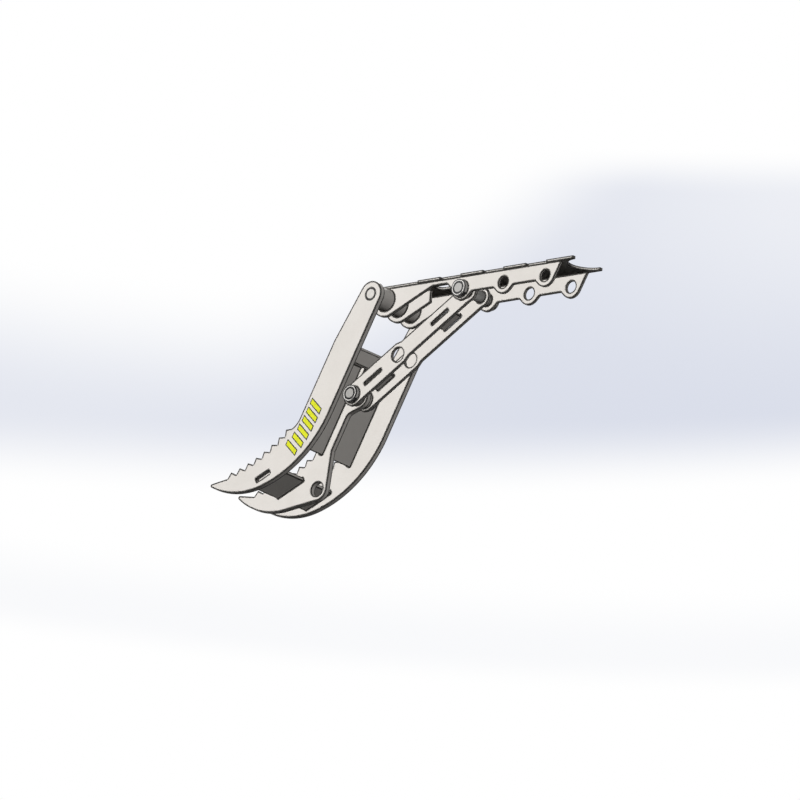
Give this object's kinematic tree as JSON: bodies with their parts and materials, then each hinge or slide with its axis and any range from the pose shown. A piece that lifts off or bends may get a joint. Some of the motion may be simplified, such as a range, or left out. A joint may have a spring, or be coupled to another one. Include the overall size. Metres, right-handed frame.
{
  "type": "excavator thumb",
  "caption": "Weld-on mechanical thumb for a small excavator: toothed curved plates on a pivot bracket, held by a pinned strut that sets in a choice of holes.",
  "frame": {"origin": "on the weld plate's outer face, straight above the main pivot pin and midway between the side plates", "axes": "+Z out of the weld face into the arm, +X along the bracket to its rear end, +Y along the pins to the right-hand plates"},
  "size_m": [0.917, 0.2032, 0.4581],
  "materials": {
    "base_paint": "satin",
    "thumb_paint": "satin",
    "link_paint": "satin",
    "pin_steel": "turned",
    "collar_steel": "turned",
    "screw_steel": "black oxide"
  },
  "bodies": {
    "base": {"base_weld_plate": "base_paint", "base_side_plate_left": "base_paint", "base_side_plate_right": "base_paint", "base_middle_gusset": "base_paint", "base_pivot_tube": "base_paint"},
    "thumb": {"thumb_side_plate_left": "thumb_paint", "thumb_side_plate_right": "thumb_paint", "thumb_middle_plate": "thumb_paint", "thumb_long_plate_left": "thumb_paint", "thumb_long_plate_right": "thumb_paint", "thumb_upper_cross_plate": "thumb_paint", "thumb_lower_cross_plate": "thumb_paint", "thumb_boss_tube": "thumb_paint", "main_pivot_pin": "pin_steel"},
    "link": {"link_side_plate_left": "link_paint", "link_side_plate_right": "link_paint", "link_cross_plate_lower": "link_paint", "link_cross_plate_upper": "link_paint", "lower_link_pin": "pin_steel", "lower_collars": "collar_steel", "lower_set_screws": "screw_steel"},
    "upper_pin": {"upper_link_pin": "pin_steel", "upper_collar_left": "collar_steel", "upper_set_screw_left": "screw_steel"},
    "upper_collar": {"upper_collar_right": "collar_steel", "upper_set_screw_right": "screw_steel"}
  },
  "joints": [
    {"name": "thumb_swing", "type": "hinge", "parent": "base", "child": "thumb", "pos_m": [0, 0, -0.03335], "axis": [0, -1, 0], "range_deg": [0, 100]},
    {"name": "link_swing", "type": "hinge", "parent": "thumb", "child": "link", "pos_m": [-0.09074, 0, -0.22628], "axis": [0, -1, 0], "range_deg": [-140, 0]},
    {"name": "upper_pin_slide", "type": "slide", "parent": "base", "child": "upper_pin", "axis": [0, -1, 0], "range_m": [0, 0.125]},
    {"name": "upper_collar_slide", "type": "slide", "parent": "base", "child": "upper_collar", "axis": [0, 1, 0], "range_m": [0, 0.03]}
  ],
  "couplings": [
    {"joint": "link_swing", "follows": "thumb_swing", "ratio": -1.4}
  ]
}
